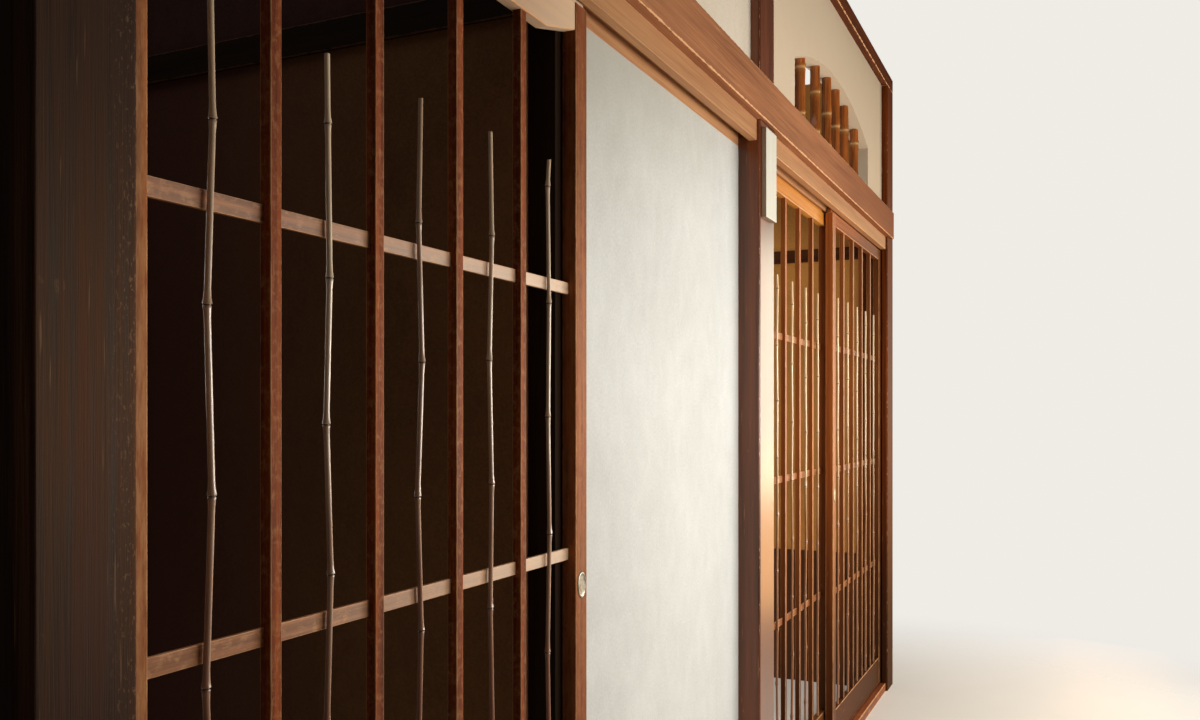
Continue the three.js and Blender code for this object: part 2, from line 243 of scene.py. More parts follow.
class FittingProperties(bpy.types.PropertyGroup):
    """Sizes and colours of the finger pulls and the name plate."""

    metal: colour("Pull metal", "Bright metal of the finger pulls", "9a9788")
    metal_dark: colour("Pull metal, dark", "Tarnish of the finger pulls", "6b5137")
    board: colour("Plate face", "Bare painted face of the name plate", "c9c4b4")
    board_edge: colour("Plate edge", "Bare wood of the name plate's edges", "8c745c")
    board_round: length("Plate arris", "Rounding of the name plate's arrises", 0.0012)


class StageProperties(bpy.types.PropertyGroup):
    """The floor, the lights and the camera."""

    floor_radius: length("Floor radius", "Radius of the round floor", 9.0)
    floor: colour("Floor", "Pale floor", "e6e2da")
    backdrop: colour("Backdrop", "What shows behind the part", "efece6")
    key: power("Key", "main light", 36)
    window: power("Window", "tall light at the right", 21)
    side: power("Side", "light from the far end", 20)
    glow: power("Glow", "warm light", 9)
    back: power("Back", "light behind the wall", 14)
    top: power("Top", "light overhead", 65)
    sky: number("Sky", "Strength of the light from all round", 0.03)
    lens: number("Lens", "Focal length", 30.84, unit="CAMERA")


PROPERTY_GROUPS = {
    "inn_timber": TimberProperties,
    "inn_doors": DoorProperties,
    "inn_canes": CaneProperties,
    "inn_bamboo": BambooProperties,
    "inn_plaster": PlasterProperties,
    "inn_fittings": FittingProperties,
    "inn_stage": StageProperties,
}


# ---- shader nodes


def put(tree, kind, inputs=None, **settings):
    """Adds a node. Each input is a socket to link from, or a value."""
    node = tree.nodes.new(kind)
    for name, value in settings.items():
        setattr(node, name, value)
    for name, value in (inputs or {}).items():
        if isinstance(value, bpy.types.NodeSocket):
            tree.links.new(value, node.inputs[name])
        else:
            socket = node.inputs[name]
            if socket.type == "RGBA" and len(value) == 3:
                value = (*value, 1.0)
            socket.default_value = value
    return node


def calc(tree, operation, a, b=0.0):
    """A Math node's output."""
    return put(tree, "ShaderNodeMath", {0: a, 1: b}, operation=operation).outputs[0]


def plus(tree, a, b):
    return calc(tree, "ADD", a, b)


def minus(tree, a, b):
    return calc(tree, "SUBTRACT", a, b)


def times(tree, a, b):
    return calc(tree, "MULTIPLY", a, b)


def axis(tree, vector, name):
    """A vector's X, Y or Z."""
    return put(tree, "ShaderNodeSeparateXYZ", {0: vector}).outputs[name]


def attribute(tree, name):
    """A number that the mesh carries."""
    return put(tree, "ShaderNodeAttribute", attribute_name=name, attribute_type="GEOMETRY").outputs["Fac"]


def dimmed(tone, part):
    """A colour at part of its brightness."""
    return tuple(c * part for c in tone)


def remap(tree, value, low, high, to_low=0.0, to_high=1.0, smooth=False):
    """A clamped Map Range node's output."""
    kind = "SMOOTHSTEP" if smooth else "LINEAR"
    return put(tree, "ShaderNodeMapRange", {
        "Value": value, "From Min": low, "From Max": high, "To Min": to_low, "To Max": to_high},
        interpolation_type=kind).outputs["Result"]


def mix(tree, factor, a, b):
    """A colour Mix node's output."""
    return put(tree, "ShaderNodeMix", {0: factor, 6: a, 7: b}, data_type="RGBA").outputs[2]


def noise(tree, vector, scale, detail=3.0, roughness=0.55, distortion=0.0):
    """A Noise Texture node's value."""
    return put(tree, "ShaderNodeTexNoise", {
        "Vector": vector, "Scale": scale, "Detail": detail,
        "Roughness": roughness, "Distortion": distortion}).outputs["Fac"]


def stretch(tree, vector, scale=(1, 1, 1), turn=(0, 0, 0)):
    """A Mapping node's output."""
    return put(tree, "ShaderNodeMapping", {"Vector": vector, "Scale": scale, "Rotation": turn}).outputs[0]


# The builders below get a node group's tree, its vector, all its inputs and a function that sets
# an output.


def build_grain(tree, place, given, give):
    # The grain runs along the vector's Z.
    thin = stretch(tree, place, scale=(1, 1, 0.016))
    broad = stretch(tree, place, scale=(1, 1, 0.05))
    fibre = noise(tree, thin, given["Fineness"], 5.0, 0.65)
    tone = noise(tree, broad, times(tree, given["Fineness"], 0.07), 3.0, 0.6)
    bowed = stretch(tree, place, scale=(1, 0.8, 0.05), turn=(0, 0, 0.5))
    rings = put(tree, "ShaderNodeTexWave", {
        "Vector": bowed, "Scale": 22.0, "Distortion": 9.0, "Detail": 3.0, "Detail Scale": 0.7,
        "Detail Roughness": 0.6}, wave_type="BANDS", bands_direction="X").outputs["Fac"]
    ringed = times(tree, minus(tree, rings, 0.5), given["Rings"])
    whole = plus(tree, times(tree, fibre, 0.65), times(tree, tone, 0.6))
    whole = plus(tree, whole, times(tree, ringed, 0.5))
    spread = times(tree, minus(tree, whole, 0.62), given["Contrast"])
    give("Figure", remap(tree, spread, -0.24, 0.24))
    give("Height", plus(tree, fibre, times(tree, ringed, 0.35)))


def build_arris(tree, place, given, give):
    # On a block's surface the second smallest distance to its six sides is the distance to an arris.
    def inside(name):
        low, high, at = (axis(tree, v, name) for v in (given["Lowest"], given["Highest"], place))
        nearest = calc(tree, "MINIMUM", minus(tree, at, low), minus(tree, high, at))
        return calc(tree, "ABSOLUTE", nearest)
    a, b, c = (inside(name) for name in "XYZ")
    low, high = calc(tree, "MINIMUM", a, b), calc(tree, "MAXIMUM", a, b)
    middle = calc(tree, "MAXIMUM", low, calc(tree, "MINIMUM", high, c))
    rough = noise(tree, place, 60.0, 4.0, 0.7)
    reach = times(tree, given["Width"], remap(tree, rough, 0.35, 0.75, 0.25, 1.6))
    near = calc(tree, "DIVIDE", middle, reach)
    give("Wear", remap(tree, near, 0.5, 1.0, 1.0, 0.0, smooth=True))


def build_handling(tree, place, given, give):
    # Spots and short scratches where hands, feet and dust have been.
    blot = noise(tree, place, given["Scale"], 6.0, 0.65, 0.3)
    drawn = stretch(tree, place, scale=(1, 1, 0.12), turn=(0.2, 0.15, 0))
    scratch = noise(tree, drawn, times(tree, given["Scale"], 9.0), 3.0, 0.7)
    both = plus(tree, times(tree, blot, 0.7), times(tree, scratch, 0.4))
    spots = remap(tree, both, given["Start"], plus(tree, given["Start"], 0.14))
    slanted = stretch(tree, place, scale=(1, 1, 0.035), turn=(0, 0.5, 0))
    score = noise(tree, slanted, 330.0, 2.0, 0.5)
    give("Mask", calc(tree, "MAXIMUM", spots, remap(tree, score, 0.7, 0.76, 0.0, 0.8)))


def build_plaster_skin(tree, place, given, give):
    cloud = noise(tree, place, 3.2, 5.0, 0.6, 0.4)
    swept = stretch(tree, place, scale=(1, 1, 0.6), turn=(0, 0.5, 0))
    trowel = noise(tree, swept, 26.0, 5.0, 0.65, 0.3)
    sand = noise(tree, place, 190.0, 5.0, 0.75)
    whole = plus(tree, times(tree, cloud, 0.34), times(tree, trowel, 0.2))
    whole = plus(tree, whole, times(tree, sand, 0.5))
    give("Mottle", remap(tree, whole, 0.38, 0.68))
    give("Height", plus(tree, times(tree, sand, 0.8), times(tree, trowel, 1.2)))


def build_culm_skin(tree, place, given, give):
    fibre = noise(tree, stretch(tree, place, scale=(1, 1, 0.02)), given["Fineness"], 4.0, 0.6)
    cloud = noise(tree, stretch(tree, place, scale=(1, 1, 0.3)), 18.0, 4.0, 0.6)
    whole = plus(tree, times(tree, fibre, 0.55), times(tree, cloud, 0.5))
    give("Streaks", remap(tree, whole, 0.36, 0.72))
    give("Height", fibre)


# Each node group's builder, its inputs beside "Vector" with their defaults, None for a vector, and
# its outputs.
GROUPS = {
    "Wood grain": (
        build_grain, {"Fineness": 320.0, "Rings": 0.3, "Contrast": 1.0}, ("Figure", "Height")),
    "Worn arris": (build_arris, {"Lowest": None, "Highest": None, "Width": 0.004}, ("Wear",)),
    "Handling marks": (build_handling, {"Scale": 14.0, "Start": 0.7}, ("Mask",)),
    "Plaster skin": (build_plaster_skin, {}, ("Mottle", "Height")),
    "Culm skin": (build_culm_skin, {"Fineness": 500.0}, ("Streaks", "Height")),
}


def node_group(name):
    """A shader node group, built when it is first asked for."""
    if name in bpy.data.node_groups:
        return bpy.data.node_groups[name]
    build, inputs, outputs = GROUPS[name]
    tree = bpy.data.node_groups.new(name, "ShaderNodeTree")
    for label, default in {"Vector": None, **inputs}.items():
        kind = "NodeSocketVector" if default is None else "NodeSocketFloat"
        socket = tree.interface.new_socket(name=label, in_out="INPUT", socket_type=kind)
        if default is not None:
            socket.default_value = default
    for label in outputs:
        tree.interface.new_socket(name=label, in_out="OUTPUT", socket_type="NodeSocketFloat")
    start = tree.nodes.new("NodeGroupInput")
    end = tree.nodes.new("NodeGroupOutput")
    build(tree, start.outputs["Vector"], start.outputs,
          lambda label, socket: tree.links.new(socket, end.inputs[label]))
    return tree


def grouped(tree, name, inputs):
    """Places a node group and returns its outputs."""
    return put(tree, "ShaderNodeGroup", inputs, node_tree=node_group(name)).outputs


def new_material(name):
    """An empty material's tree, its Object coordinates and a function that ends it with a
    Principled BSDF."""
    made = bpy.data.materials.new(name)
    made.use_nodes = True
    tree = made.node_tree
    tree.nodes.clear()
    place = put(tree, "ShaderNodeTexCoord").outputs["Object"]

    def end(base, roughness, height, strength, distance, **plain):
        bump = put(tree, "ShaderNodeBump", {"Height": height, "Strength": strength, "Distance": distance})
        inputs = {"Base Color": base, "Roughness": roughness, "Normal": bump.outputs[0]}
        inputs.update({key.replace("_", " "): value for key, value in plain.items()})
        shader = put(tree, "ShaderNodeBsdfPrincipled", inputs)
        put(tree, "ShaderNodeOutputMaterial", {"Surface": shader.outputs[0]})
        return made

    return tree, place, end


TURNS = {"z": (0, 0, 0), "x": (0, math.pi / 2, 0), "y": (math.pi / 2, 0, 0)}


def wood(name, late, early, worn, along="z", node=None, wear_width=0.004, fineness=320.0, rings=0.3,
         contrast=1.0, marks=0.7, marks_scale=14.0, marks_weight=0.45, scuffs=0.0, flush=None,
         foot=None, bleach=None, hand=None, rough=(0.38, 0.62), gloss=0.0, shine=0.5):
    """Wood whose grain runs along one axis. Its arrises wear by distance where it belongs to
    one CAD node, and by the face attribute "worn" where it belongs to made pieces. foot is the
    colour of painted shade that it darkens to near the floor. The painted light along the wall gives
    two places along the wall and the colour of painted sheen, warm light or shade that it shifts to
    between them. The lit band gives the height of a painted pool of light, outside which the wood
    darkens and wears less, and how far that pool reaches."""
    tree, place, end = new_material(name)
    turned = stretch(tree, place, turn=TURNS[along])
    grain = grouped(tree, "Wood grain", {
        "Vector": turned, "Fineness": fineness, "Rings": rings, "Contrast": contrast})
    base = mix(tree, grain["Figure"], late, early)
    if flush:
        zone = noise(tree, stretch(tree, turned, scale=(1, 1, 0.12)), 16.0, 3.0, 0.6)
        base = mix(tree, remap(tree, zone, 0.48, 0.66, 0.0, 0.45), base, flush)
    # Painted light along the wall: between two places the colour shifts to a painted sheen, warm light or
    # shade.
    if bleach:
        start, stop, painted_tone = bleach
        base = mix(tree, remap(tree, axis(tree, place, "X"), start, stop, 0.0, 0.7), base, painted_tone)
    # Painted shade: the wood darkens to the foot colour near the floor.
    if foot:
        low = remap(tree, axis(tree, place, "Z"), 0.15, 1.1, 0.8, 0.0, smooth=True)
        base = mix(tree, low, base, foot)
    # Painted pool of light: away from the lit band's height the wood darkens towards its late wood as
    # painted shade.
    if hand:
        off = calc(tree, "ABSOLUTE", minus(tree, axis(tree, place, "Z"), hand[0]))
        outside_lit_band = remap(tree, off, 0.0, hand[1], smooth=True)
        base = mix(tree, times(tree, outside_lit_band, 0.7), base, late)
    marked = grouped(tree, "Handling marks", {
        "Vector": turned, "Scale": marks_scale, "Start": marks})["Mask"]
    if node:
        low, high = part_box(node)
        edge = grouped(tree, "Worn arris", {
            "Vector": place, "Lowest": low, "Highest": high, "Width": wear_width})["Wear"]
        if scuffs:
            strip = remap(tree, axis(tree, place, "X"), high.x - scuffs, high.x, 0.0, 0.6)
            chips = noise(tree, stretch(tree, place, scale=(1, 1, 0.5)), 330.0, 4.0, 0.75)
            chips = remap(tree, chips, 0.57, 0.64)
            edge = calc(tree, "MAXIMUM", edge, times(tree, strip, chips))
    else:
        rub = noise(tree, stretch(tree, turned, scale=(1, 1, 0.2)), 130.0, 4.0, 0.7)
        edge = times(tree, attribute(tree, "worn"), remap(tree, rub, 0.36, 0.6, 0.3, 1.0))
    wear = calc(tree, "MAXIMUM", times(tree, marked, marks_weight), edge)
    # Away from the lit band the worn colour is also weaker, partly less wear and partly painted shade.
    if hand:
        wear = times(tree, wear, remap(tree, outside_lit_band, 0.0, 1.0, 1.0, 0.6))
    base = mix(tree, wear, base, worn)
    polish = minus(tree, grain["Figure"], times(tree, wear, 0.4))
    roughness = remap(tree, polish, -0.2, 1.0, *rough)
    return end(base, roughness, grain["Height"], 0.55, 0.0006, Coat_Weight=gloss, Coat_Roughness=0.32,
               Specular_IOR_Level=shine, Specular_Tint=(1.0, 0.72, 0.46))


def plaster(name, light, dark, grain_height, node=None, back_shade=None):
    """Trowelled plaster with a sandy face. On one CAD node it darkens towards its upper left corner,
    painted shade under the head track.
    Its last parameter is the colour of painted shade it takes on further back in the room."""
    tree, place, end = new_material(name)
    skin = grouped(tree, "Plaster skin", {"Vector": place})
    base = mix(tree, skin["Mottle"], dark, light)
    if back_shade:
        # Painted shade further back in the room.
        back = remap(tree, axis(tree, place, "Y"), -0.3, 0.4, 0.0, 0.9, smooth=True)
        base = mix(tree, back, base, back_shade)
    if node:
        # Painted shade: the panel darkens below its top edge, most at the left, where the head track
        # shades it.
        low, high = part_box(node)
        aside = times(tree, minus(tree, axis(tree, place, "X"), low.x), 0.25)
        away = plus(tree, minus(tree, high.z, axis(tree, place, "Z")), aside)
        away = plus(tree, away, times(tree, skin["Mottle"], 0.08))
        shade_tone = tuple(c * part for c, part in zip(dark, (0.72, 0.68, 0.6)))
        base = mix(tree, remap(tree, away, 0.0, 0.45, 0.85, 0.0, smooth=True), base, shade_tone)
    roughness = remap(tree, skin["Mottle"], 0, 1, 0.98, 0.86)
    return end(base, roughness, skin["Height"], 0.9, grain_height)


def culm_material(name, skin, skin_dark, ring, fineness, rough, low_brown=None):
    """Bamboo: streaks along the stem, rings at the joints, browner near the floor."""
    tree, place, end = new_material(name)
    streaks = grouped(tree, "Culm skin", {"Vector": place, "Fineness": fineness})
    base = mix(tree, streaks["Streaks"], skin_dark, skin)
    if low_brown:
        height = plus(tree, axis(tree, place, "Z"), times(tree, noise(tree, place, 7.0, 2.0), 0.5))
        base = mix(tree, remap(tree, height, 0.95, 1.55, 0.9, 0.0), base, low_brown)
    base = mix(tree, times(tree, attribute(tree, "joint"), 0.85), base, ring)
    roughness = remap(tree, streaks["Streaks"], 0, 1, *rough)
    return end(base, roughness, streaks["Height"], 0.4, 0.0004, Coat_Weight=0.6, Coat_Roughness=0.2)


# ---- meshes


def float_layer(parts, name):
    """A float layer of verts or faces, made where it is missing."""
    return parts.layers.float.get(name) or parts.layers.float.new(name)


def cube_between(bm, low, high):
    """A sharp block between two corners. Returns its verts."""
    place = Matrix.Translation((low + high) / 2) @ Matrix.Diagonal((*(high - low), 1))
    return bmesh.ops.create_cube(bm, size=1, matrix=place)["verts"]


def block(bm, low, high, radius=0.0, segments=3, worn=0.0):
    """A block between two corners with rounded arrises. Its flat faces carry the given wear."""
    verts = cube_between(bm, Vector(low), Vector(high))
    layer = float_layer(bm.faces, "worn")
    for face in {f for v in verts for f in v.link_faces}:
        face[layer] = worn
    round_edges(bm, {e for v in verts for e in v.link_edges}, radius, segments)


def round_edges(bm, edges, radius, segments=3):
    """Rounds edges and marks the new faces as worn."""
    layer = float_layer(bm.faces, "worn")
    made = bmesh.ops.bevel(
        bm, geom=list(edges), offset=radius, offset_type="OFFSET", segments=segments,
        profile=0.5, affect="EDGES", clamp_overlap=True, material=-1)
    for face in made["faces"]:
        face[layer] = 1.0


def add_object(name, data):
    """Puts a new object in the scene."""
    made = bpy.data.objects.new(name, data)
    bpy.context.scene.collection.objects.link(made)
    return made


def add_mesh(name, bm, material):
    """Makes an object of a bmesh."""
    mesh = bpy.data.meshes.new(name)
    bm.to_mesh(mesh)
    bm.free()
    mesh.materials.append(material)
    return add_object(name, mesh)


def piece(name, bm, body, material, replaces, smooth=None):
    """Makes a piece that rides on a body in place of CAD nodes. smooth is the sharpest smoothed angle."""
    made = add_mesh(name, bm, material)
    if smooth is not None:
        made.data.shade_smooth()
        made.data.set_sharp_from_angle(angle=math.radians(smooth))
    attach(made, body)
    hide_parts(*replaces)


def dress(node, material, rounding=0.0, segments=3):
    """Gives a CAD node its material and rounds its arrises with modifiers."""
    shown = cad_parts[node]
    if not shown.material_slots:
        shown.data.materials.append(material)
    for holder in shown.material_slots:
        holder.link = "OBJECT"
        holder.material = material
    if rounding:
        weld = shown.modifiers.new("Join", "WELD")
        weld.merge_threshold = 0.00002
        bevel = shown.modifiers.new("Arris", "BEVEL")
        bevel.width = rounding
        bevel.segments = segments
        bevel.limit_method = "ANGLE"
        bevel.angle_limit = math.radians(30)


def dress_wood(node, name, tones, rounding, segments=3, **finish):
    """Gives a CAD node wood with worn arrises."""
    dress(node, wood(name, *tones, node=node, **finish), rounding, segments)


def culm(bm, low, high, look, joints, offsets, taper=0.0):
    """Draws a jointed stem between two corners, ring by ring, in an empty bmesh. offsets are its
    sideways places at foot, joints and head."""
    layer = float_layer(bm.verts, "joint")
    place, foot, head = (low + high) / 2, low.z, high.z
    radius = (high.x - low.x) / 2 * look.slimness
    stops = [(foot, 1.0, 0.0), (head, 1.0, 0.0)]
    for z in joints:
        stops += [(z + step * radius, 1 + look.swell * grow, mark) for step, grow, mark in JOINT_PROFILE]
    knots = [foot, *joints, head]
    for a, b in zip(knots, knots[1:]):
        stops += [(a + (b - a) * part, 1.0, 0.0) for part in (0.25, 0.5, 0.75)]
    stops = sorted(s for s in stops if foot <= s[0] <= head)

    def centre(z):
        for (a, b), (p, q) in zip(zip(knots, knots[1:]), zip(offsets, offsets[1:])):
            if z <= b:
                part = (z - a) / max(b - a, 1e-6)
                return Vector((place.x, place.y, z)) + p.lerp(q, part)
        return Vector((place.x, place.y, z)) + offsets[-1]

    def width(z, grow):
        return radius * grow * (1 - taper * (z - foot) / (head - foot))

    last, last_width = centre(foot), width(foot, 1.0)
    bmesh.ops.create_circle(
        bm, cap_ends=True, radius=last_width, segments=look.sides, matrix=Matrix.Translation(last))
    edges = bm.edges[:]
    for z, grow, mark in stops[1:]:
        if z - last.z < 1e-5:
            continue
        drawn = bmesh.ops.extrude_edge_only(bm, edges=edges)["geom"]
        ring = [g for g in drawn if isinstance(g, bmesh.types.BMVert)]
        edges = [g for g in drawn if isinstance(g, bmesh.types.BMEdge)
                 and all(v in ring for v in g.verts)]
        here, here_width = centre(z), width(z, grow)
        bmesh.ops.translate(bm, verts=ring, vec=here - last)
        factor = here_width / last_width
        bmesh.ops.scale(bm, verts=ring, vec=(factor, factor, 1), space=Matrix.Translation(-here))
        for vertex in ring:
            vertex[layer] = mark
        last, last_width = here, here_width
    bmesh.ops.contextual_create(bm, geom=edges)
    bmesh.ops.recalc_face_normals(bm, faces=bm.faces)


# ---- operators


class INN_OT_timber(bpy.types.Operator):
    """Dress the posts, long rails, wall plate, sills and head tracks"""

    bl_idname = "inn.timber"
    bl_label = "Timber Frame"

    def execute(self, context):
        look = context.scene.inn_timber
        doors = context.scene.inn_doors
        dark = (look.dark, look.dark_light, look.dark_worn)
        black = (look.room, look.room_light, look.room)
        warm = (look.warm, look.warm_light, look.warm_worn)
        pine = (look.post, look.post_light, look.warm_worn)
        pale = (look.track, look.track_light, look.warm_worn)
        red = (doors.wood, doors.wood_light, doors.wood_worn)
        matt = {"rough": (0.6, 0.8), "shine": 0.2}
        # The near post carries a painted pool of light around the lit band's height.
        dress_wood("near_post", "near post cedar", dark, look.post_round, rings=0.25, contrast=1.6,
                   fineness=700.0, scuffs=0.034, flush=look.flush, hand=(look.hand, 0.32),
                   rough=(0.5, 0.72), shine=0.2)
        dress_wood("doorway_post", "doorway post cedar", black, look.post_round, wear_width=0.002,
                   marks=0.75, **matt)
        dress_wood("middle_post", "middle post pine", pine, look.post_round, wear_width=0.0025,
                   gloss=look.sheen, contrast=1.2, shine=0.3)
        # Painted shade: the far post darkens to the far room's wood near the floor.
        dress_wood("far_post", "far post pine", pine, look.post_round, wear_width=0.0025,
                   contrast=1.2, foot=look.brown, **matt)
        for node in ("front_nageshi", "back_nageshi"):
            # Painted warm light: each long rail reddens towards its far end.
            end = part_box(node)[1].x
            dress_wood(node, f"{node} pine", warm, look.rail_round, along="x", rings=0.06, marks=0.72,
                       contrast=1.2, bleach=(end - look.warm_light_run, end, look.post_light),
                       rough=(0.6, 0.8), shine=0.25)
        dress_wood("wall_plate", "wall plate cedar", pine, look.rail_round, along="x", marks=0.72,
                   **matt)
        for node in ("near_head_track", "far_head_track"):
            dress_wood(node, f"{node} pine", pale, look.track_round, 2, along="x", wear_width=0.002,
                       rings=0.1, marks=0.75, rough=(0.5, 0.7), shine=0.3)
        for node in ("near_sill", "far_sill"):
            dress_wood(node, f"{node} cedar", red, look.track_round, 2, along="x", wear_width=0.005,
                       marks=0.6)
        return {"FINISHED"}


class INN_OT_plaster(bpy.types.Operator):
    """Dress the plaster panels of the wall"""

    bl_idname = "inn.plaster"
    bl_label = "Plaster Panels"

    def execute(self, context):
        look = context.scene.inn_plaster
        grey = plaster("grey lime plaster", look.grey, look.grey_dark, look.grain, "lower_plaster")
        dress("lower_plaster", grey)
        for side, tone, light in (("near", "pale", look.pale), ("far", "cream", look.cream)):
            clay = plaster(f"{tone} clay plaster", light, look.cream_dark, look.grain)
            dress(f"{side}_upper_plaster", clay)
        return {"FINISHED"}


class INN_OT_returns(bpy.types.Operator):
    """Dress the two partitions that run back into the rooms"""

    bl_idname = "inn.returns"
    bl_label = "Partitions"

    def execute(self, context):
        timber = context.scene.inn_timber
        look = context.scene.inn_plaster
        dark = (timber.room, timber.room_light, timber.dark_light)
        brown = (timber.brown, timber.brown_light, timber.dark_light)
        for side, light, shade, back_shade, tones in (
                ("near_return", look.room, look.room_dark, look.room_back_shade, dark),
                ("far_return", look.room_far, look.room_far_dark, None, brown)):
            clay = plaster(f"{side} clay plaster", light, shade, look.grain, back_shade=back_shade)
            dress(f"{side}_panel", clay)
            # The near room's upper wall is painted shade: its plaster takes the back colour and half of
            # it.
            if back_shade:
                clay = plaster(f"{side} upper plaster", back_shade, dimmed(back_shade, 0.5), look.grain)
            dress(f"{side}_upper_wall", clay)
            for part, along in (("header", "y"), ("post", "z")):
                dress_wood(f"{side}_{part}", f"{side}_{part} cedar", tones, timber.post_round,
                           along=along, wear_width=0.003, marks=0.75, rough=(0.6, 0.8), shine=0.15)
        dress_wood("far_return_boards", "return boards cedar", brown, timber.post_round,
                   wear_width=0.003, marks=0.75)
        return {"FINISHED"}


class INN_OT_doors(bpy.types.Operator):
    """Build the sliding doors' stiles, rails, bars and crossbars"""

    bl_idname = "inn.doors"
    bl_label = "Lattice Doors"

    def execute(self, context):
        look = context.scene.inn_doors
        near = (look.wood, look.wood_light, look.wood_worn)
        far = (look.far_wood, look.far_light, look.wood_worn)
        rail_glow = (look.rail_glow, look.rail_glow_light, look.wood_worn)
        pale = (look.crossbar, look.crossbar_light, look.wood_worn)
        low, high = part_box("door_1_lattice")
        # Painted sheen: the near door's rails and crossbars lighten towards their right end.
        painted_tone = {"bleach": (low.x + (high.x - low.x) * 0.25, high.x, look.crossbar_painted_tone)}
        near_set = (
            # The near door's uprights carry a painted pool of light around the lit band's height.
            wood("near door cedar, upright", *near, contrast=1.4, marks=0.54, marks_scale=90.0,
                 marks_weight=0.34, hand=(context.scene.inn_timber.hand, 0.9), rough=(0.5, 0.7),
                 shine=0.15),
            wood("near door cedar, level", *pale, along="x", marks=0.66, marks_scale=40.0,
                 rough=(0.5, 0.7), shine=0.25, **painted_tone),
            wood("near crossbar pine", *pale, along="x", contrast=1.4, marks=0.56, marks_scale=70.0,
                 marks_weight=0.6, rough=(0.35, 0.5), shine=0.4, gloss=0.45, **painted_tone))
        low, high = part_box("door_3_lattice")
        shaded = {"bleach": (low.x, high.x, look.foot)}
        # The foot colour here paints shade near the floor.
        worked = {"contrast": 0.9, "foot": look.foot}
        far_set = (
            wood("far door cedar, upright", *far, rough=(0.42, 0.58), shine=0.4, **shaded, **worked),
            wood("far door cedar, level", *far, along="x", rough=(0.5, 0.65), shine=0.2, **shaded,
                 **worked),
            wood("far crossbar pine", *pale, along="x", rough=(0.4, 0.6), shine=0.4, **shaded))
        # The middle door's rails take the brighter orange, partly a painted warm glow.
        level = wood("middle door cedar, level", *rail_glow, along="x", rough=(0.4, 0.5), shine=0.4, **worked)
        middle_set = (far_set[0], level, far_set[2])
        for (door, plan), finish in zip(DOORS.items(), (near_set, middle_set, far_set)):
            self.build(look, door, plan, *finish)
        return {"FINISHED"}

    def build(self, look, door, plan, upright, level, pale):
        """Fills a door's four meshes with rounded members and makes them pieces."""
        stiles, rails, bars, crossbars = (bmesh.new() for _ in range(4))
        low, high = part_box(f"{door}_lattice")
        foot, head = look.shoulder_foot, look.shoulder_head
        inner = (low.x + look.stile_width, high.x - look.stile_width)
        span = (inner[0] - look.tenon, inner[1] + look.tenon)
        rail_y = (low.y + look.rail_setback, high.y - look.rail_setback)
        middle = (low.y + high.y) / 2
        tongue_y = (middle - look.tongue / 2, middle + look.tongue / 2)
        broad_arris, fine_arris = look.arris * 1.5, look.arris * 0.6

        rubbed = look.rubbed if door == "door_1" else 0.0
        # The right stile's smaller share of the worn colour is partly wear and partly a painted sheen.
        for x0, x1, worn in ((low.x, inner[0], rubbed), (inner[1], high.x, rubbed * 0.4)):
            block(stiles, (x0, low.y, foot), (x1, high.y, head), broad_arris, worn=worn)

        block(rails, (span[0], rail_y[0], foot), (span[1], rail_y[1], look.bottom_rail_top), broad_arris)
        self.top_rail(rails, look, plan, span, inner, rail_y, broad_arris)
        for z0, z1 in ((low.z, foot + LAP), (head - LAP, high.z)):
            block(rails, (low.x, tongue_y[0], z0), (high.x, tongue_y[1], z1), look.arris)

        front = low.y + look.bar_setback
        back = front + look.bar_depth
        bay = (inner[1] - inner[0] - BARS_PER_DOOR * look.bar_width) / (BARS_PER_DOOR + 1)
        for index in range(BARS_PER_DOOR):
            x = inner[0] + bay + index * (bay + look.bar_width)
            block(bars, (x, front, look.bottom_rail_top - look.tenon),
                  (x + look.bar_width, back, plan["rail_foot"] + look.tenon), look.arris)
        for z in plan["crossbars"]:
            block(crossbars, (span[0], back - look.crossbar_depth, z - look.crossbar_height / 2),
                  (span[1], back, z + look.crossbar_height / 2), fine_arris, 2)

        for part, bm, finish in (("stiles", stiles, upright), ("rails", rails, level),
                                 ("bars", bars, upright), ("crossbars", crossbars, pale)):
            piece(f"{door}_{part}", bm, door, finish, [f"{door}_lattice"])

    def top_rail(self, bm, look, plan, span, inner, rail_y, arris):
        """The upper rail, cut down to its haunches where the door has them."""
        low = Vector((span[0], rail_y[0], plan["rail_foot"]))
        high = Vector((span[1], rail_y[1], look.shoulder_head))
        verts = set(cube_between(bm, low, high))
        if plan["haunched"]:
            for x in (inner[0], inner[0] + look.haunch_run, inner[1] - look.haunch_run, inner[1]):
                near = {f for v in verts for f in v.link_faces}
                edges = {e for f in near for e in f.edges}
                cut = bmesh.ops.bisect_plane(
                    bm, geom=[*verts, *edges, *near], plane_co=(x, 0, 0), plane_no=(1, 0, 0))
                verts |= {g for g in cut["geom_cut"] if isinstance(g, bmesh.types.BMVert)}
            raised = [v for v in verts if v.co.z < low.z + LAP
                      and not inner[0] + LAP < v.co.x < inner[1] - LAP]
            bmesh.ops.translate(bm, verts=raised, vec=(0, 0, look.haunch_rise))
        sharp = {e for v in verts for e in v.link_edges if e.calc_face_angle(0) > math.radians(40)}
        round_edges(bm, sharp, arris)


